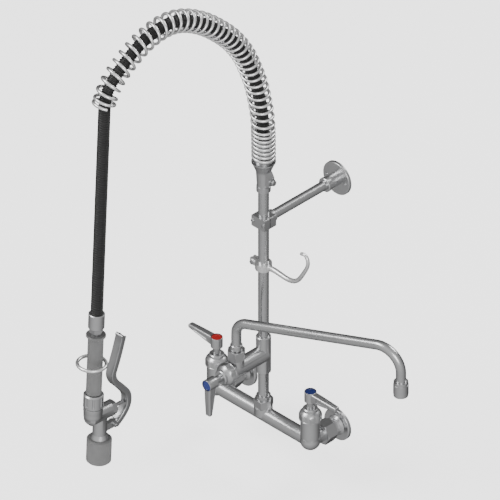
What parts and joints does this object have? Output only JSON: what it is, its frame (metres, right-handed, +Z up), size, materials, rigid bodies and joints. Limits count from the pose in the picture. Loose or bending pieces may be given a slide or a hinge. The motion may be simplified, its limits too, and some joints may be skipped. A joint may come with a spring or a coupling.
{
  "type": "pre rinse faucet",
  "caption": "Wall-mounted pre-rinse faucet: crossbar with lever valves, sprung overhead hose with squeeze spray valve, and an add-on faucet with a swing nozzle.",
  "frame": {"origin": "midway between the two supply inlets, in the plane of their wall faces", "axes": "+X along the wall towards the cold valve, +Y into the wall, +Z up along the riser"},
  "size_m": [0.4714, 0.5563, 0.873],
  "materials": {
    "cast_chrome": "chrome plate over cast and turned brass, satin bright",
    "polished_tube": "chrome plate over drawn brass tube",
    "stainless": "turned and brushed stainless steel",
    "spring_wire": "bright drawn stainless wire",
    "brass": "turned brass",
    "black_hose": "ribbed black hose cover, satin",
    "black_rubber": "moulded rubber",
    "bumper_rubber": "moulded grey rubber, matt",
    "grip_plastic": "moulded grey handle sleeve",
    "red_index": "red index disc",
    "blue_index": "blue index disc"
  },
  "bodies": {
    "base": {"addon_body": "cast_chrome", "bonnets": "cast_chrome", "bracket_clamp": "cast_chrome", "bracket_clamp_cap": "cast_chrome", "bracket_clamp_screws": "stainless", "bracket_flange": "cast_chrome", "bracket_tube": "polished_tube", "clamp_bolts": "stainless", "cold_inlet_flange": "cast_chrome", "cold_valve_body": "cast_chrome", "crossbar": "cast_chrome", "finger_hook": "spring_wire", "hose_arch": "black_hose", "hose_coupling": "stainless", "hot_inlet_flange": "cast_chrome", "hot_valve_body": "cast_chrome", "lower_riser": "polished_tube", "nozzle_nut": "stainless", "overhead_spring": "spring_wire", "packing_nuts": "cast_chrome", "riser_nut": "stainless", "spring_seat": "cast_chrome", "stem_packings": "black_rubber", "union_nuts": "stainless", "union_washers": "black_rubber", "upper_riser": "polished_tube", "valve_seats": "brass"},
    "hot_handle": {"hot_stem": "brass", "hot_lever": "cast_chrome", "hot_index_button": "red_index"},
    "hot_disc": {"hot_seat_disc": "brass"},
    "cold_handle": {"cold_stem": "brass", "cold_lever": "cast_chrome", "cold_index_button": "blue_index"},
    "cold_disc": {"cold_seat_disc": "brass"},
    "addon_handle": {"addon_stem": "brass", "addon_lever": "cast_chrome", "addon_index_button": "blue_index"},
    "addon_disc": {"addon_seat_disc": "brass"},
    "swing_nozzle": {"nozzle": "polished_tube", "nozzle_seals": "black_rubber", "aerator_shell": "cast_chrome", "aerator_insert": "stainless"},
    "spray_valve": {"hose_drop": "black_hose", "hose_ferrule": "cast_chrome", "swivel_nut": "stainless", "grip": "grip_plastic", "lower_nut": "cast_chrome", "spray_body": "cast_chrome", "spray_seat": "brass", "spray_bonnet": "stainless", "return_spring": "spring_wire", "spray_head": "cast_chrome", "spray_face": "stainless", "spray_bumper": "bumper_rubber"},
    "squeeze_lever": {"spray_lever": "stainless", "lever_pin": "stainless"},
    "spray_plunger": {"spray_stem": "stainless"},
    "hold_ring": {"hold_down_ring": "spring_wire"}
  },
  "joints": [
    {"name": "hot_turn", "type": "hinge", "parent": "base", "child": "hot_handle", "pos_m": [-0.1016, -0.062, 0.082], "axis": [0, 0, 1], "range_deg": [0, 90]},
    {"name": "hot_disc_lift", "type": "slide", "parent": "base", "child": "hot_disc", "axis": [0, 0, 1], "range_m": [0, 0.003]},
    {"name": "cold_turn", "type": "hinge", "parent": "base", "child": "cold_handle", "pos_m": [0.1016, -0.062, 0.082], "axis": [0, 0, 1], "range_deg": [-90, 0]},
    {"name": "cold_disc_lift", "type": "slide", "parent": "base", "child": "cold_disc", "axis": [0, 0, 1], "range_m": [0, 0.003]},
    {"name": "addon_turn", "type": "hinge", "parent": "base", "child": "addon_handle", "pos_m": [0, -0.177, 0.1127], "axis": [0, -1, 0], "range_deg": [0, 90]},
    {"name": "addon_disc_lift", "type": "slide", "parent": "base", "child": "addon_disc", "axis": [0, -1, 0], "range_m": [0, 0.003]},
    {"name": "nozzle_swing", "type": "hinge", "parent": "base", "child": "swing_nozzle", "pos_m": [0, -0.1209, 0.14], "axis": [0, 0, 1], "range_deg": [-85, 60]},
    {"name": "hose_swing", "type": "hinge", "parent": "base", "child": "spray_valve", "pos_m": [0, -0.4016, 0.7453], "axis": [1, 0, 0], "range_deg": [-12, 12], "stiffness_Nm_per_rad": 8},
    {"name": "lever_squeeze", "type": "hinge", "parent": "spray_valve", "child": "squeeze_lever", "pos_m": [0, -0.38708, 0.14594], "axis": [1, 0, 0], "range_deg": [0, 10], "stiffness_Nm_per_rad": 0.6, "springref_deg": -14.32},
    {"name": "spray_stem_push", "type": "slide", "parent": "spray_valve", "child": "spray_plunger", "axis": [0, -0.9988, 0.0495], "range_m": [0, 0.0056], "deforming": ["return_spring"]},
    {"name": "hold_ring_slide", "type": "slide", "parent": "spray_valve", "child": "hold_ring", "axis": [0, 0.0495, 0.9988], "range_m": [-0.053, 0.04]}
  ],
  "couplings": [
    {"joint": "hot_disc_lift", "follows": "hot_turn", "m_per_rad": 0.00191},
    {"joint": "cold_disc_lift", "follows": "cold_turn", "m_per_rad": -0.00191},
    {"joint": "addon_disc_lift", "follows": "addon_turn", "m_per_rad": 0.00191},
    {"joint": "spray_stem_push", "follows": "lever_squeeze", "m_per_rad": 0.032}
  ]
}
